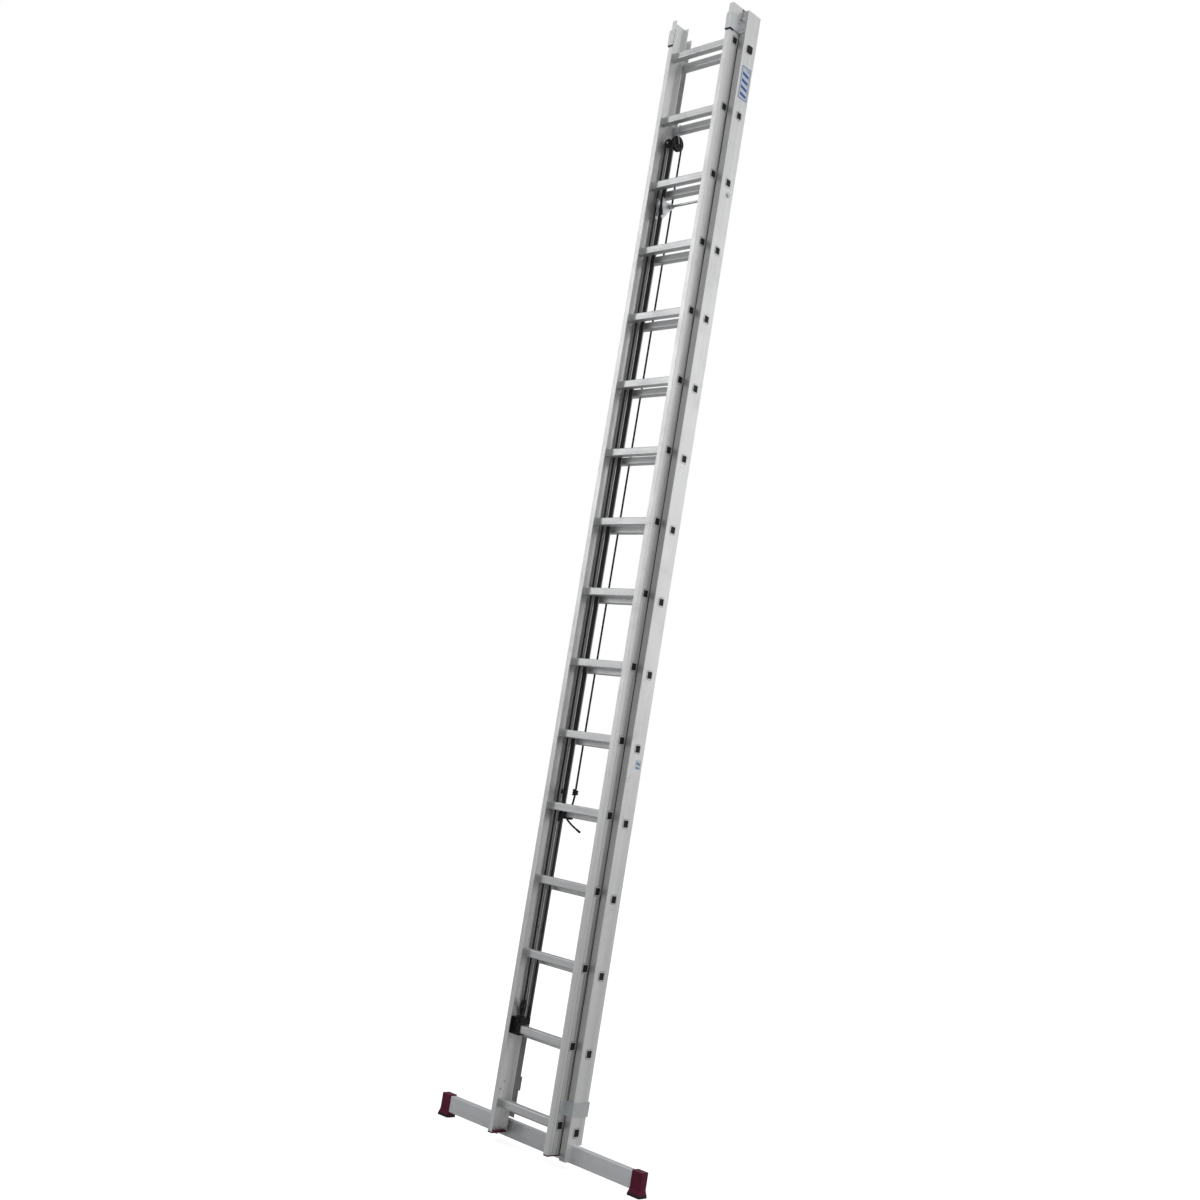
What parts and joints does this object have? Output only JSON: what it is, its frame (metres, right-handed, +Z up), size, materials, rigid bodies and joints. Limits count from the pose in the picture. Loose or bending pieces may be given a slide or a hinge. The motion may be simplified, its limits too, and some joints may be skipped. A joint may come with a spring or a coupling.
{
  "type": "extension ladder",
  "caption": "Rope-operated extension ladder: a sliding upper section nested in a base section with a stabiliser bar, pulleys, rope, guides and swinging rung stops.",
  "frame": {"origin": "on the floor under the middle of the ladder, between the stabiliser feet", "axes": "+Z up along the stiles, +X to the right along the rungs seen from the sliding section's side, +Y towards the wall it leans on"},
  "size_m": [1.075, 0.1428, 4.493],
  "materials": {
    "stile_aluminium": "mill-polished extrusion with fine lengthwise lines",
    "rung_aluminium": "satin extrusion, ribbed on top",
    "bar_aluminium": "satin anodised",
    "galvanised_sheet": "galvanised sheet, slightly blue",
    "zinc_fasteners": "zinc plated",
    "zinc_wire": "drawn, zinc plated",
    "wine_plastic": "fine moulded grain",
    "black_plastic": "moulded",
    "sheave_plastic": "moulded",
    "rope_fibre": "braided polyester"
  },
  "bodies": {
    "base": {"base_rung_01": "rung_aluminium", "base_rung_02": "rung_aluminium", "base_rung_03": "rung_aluminium", "base_rung_04": "rung_aluminium", "base_rung_05": "rung_aluminium", "base_rung_06": "rung_aluminium", "base_rung_07": "rung_aluminium", "base_rung_08": "rung_aluminium", "base_rung_09": "rung_aluminium", "base_rung_10": "rung_aluminium", "base_rung_11": "rung_aluminium", "base_rung_12": "rung_aluminium", "base_rung_13": "rung_aluminium", "base_rung_14": "rung_aluminium", "base_rung_15": "rung_aluminium", "base_rung_16": "rung_aluminium", "base_stile_left": "stile_aluminium", "base_stile_right": "stile_aluminium", "large_pulley_hook": "zinc_wire", "pawl_axle": "zinc_fasteners", "pawl_springs": "zinc_wire", "rope_fixed_left": "rope_fibre", "rope_fixed_right": "rope_fibre", "rope_run_left": "rope_fibre", "rope_run_middle": "rope_fibre", "small_pulley_hook": "zinc_wire", "stabiliser_bar": "bar_aluminium", "stabiliser_bolts": "zinc_fasteners", "stabiliser_feet": "wine_plastic", "top_guide_left": "galvanised_sheet", "top_guide_liners": "black_plastic", "top_guide_right": "galvanised_sheet", "top_guide_screws": "zinc_fasteners", "top_rung_plugs": "black_plastic"},
    "fly": {"bottom_guide_left": "galvanised_sheet", "bottom_guide_right": "galvanised_sheet", "bottom_guide_rivets": "zinc_fasteners", "fly_feet": "wine_plastic", "fly_rung_01": "rung_aluminium", "fly_rung_02": "rung_aluminium", "fly_rung_03": "rung_aluminium", "fly_rung_04": "rung_aluminium", "fly_rung_05": "rung_aluminium", "fly_rung_06": "rung_aluminium", "fly_rung_07": "rung_aluminium", "fly_rung_08": "rung_aluminium", "fly_rung_09": "rung_aluminium", "fly_rung_10": "rung_aluminium", "fly_rung_11": "rung_aluminium", "fly_rung_12": "rung_aluminium", "fly_rung_13": "rung_aluminium", "fly_rung_14": "rung_aluminium", "fly_rung_15": "rung_aluminium", "fly_rung_16": "rung_aluminium", "fly_stile_left": "stile_aluminium", "fly_stile_right": "stile_aluminium", "rope_clamp": "black_plastic"},
    "pawls": {"pawls": "galvanised_sheet"},
    "large_sheave": {"large_sheave": "sheave_plastic"},
    "small_sheave": {"small_sheave": "sheave_plastic"}
  },
  "joints": [
    {"name": "fly_slide", "type": "slide", "parent": "base", "child": "fly", "axis": [0, 0, 1], "range_m": [0, 3.08], "deforming": ["rope_run_left", "rope_run_middle"]},
    {"name": "pawl_swing", "type": "hinge", "parent": "base", "child": "pawls", "pos_m": [0, 0.0388, 3.7217], "axis": [-1, 0, 0], "range_deg": [0, 30], "stiffness_Nm_per_rad": 0.4, "springref_deg": -57.3},
    {"name": "large_sheave_spin", "type": "hinge", "parent": "base", "child": "large_sheave", "pos_m": [-0.112, 0.0268, 3.9903], "axis": [1, 0, 0], "continuous": true},
    {"name": "small_sheave_spin", "type": "hinge", "parent": "base", "child": "small_sheave", "pos_m": [-0.1355, -0.0002, 3.9853], "axis": [0, 1, 0], "continuous": true}
  ],
  "couplings": [
    {"joint": "large_sheave_spin", "follows": "fly_slide", "rad_per_m": -37.037},
    {"joint": "small_sheave_spin", "follows": "fly_slide", "rad_per_m": 76.923}
  ]
}
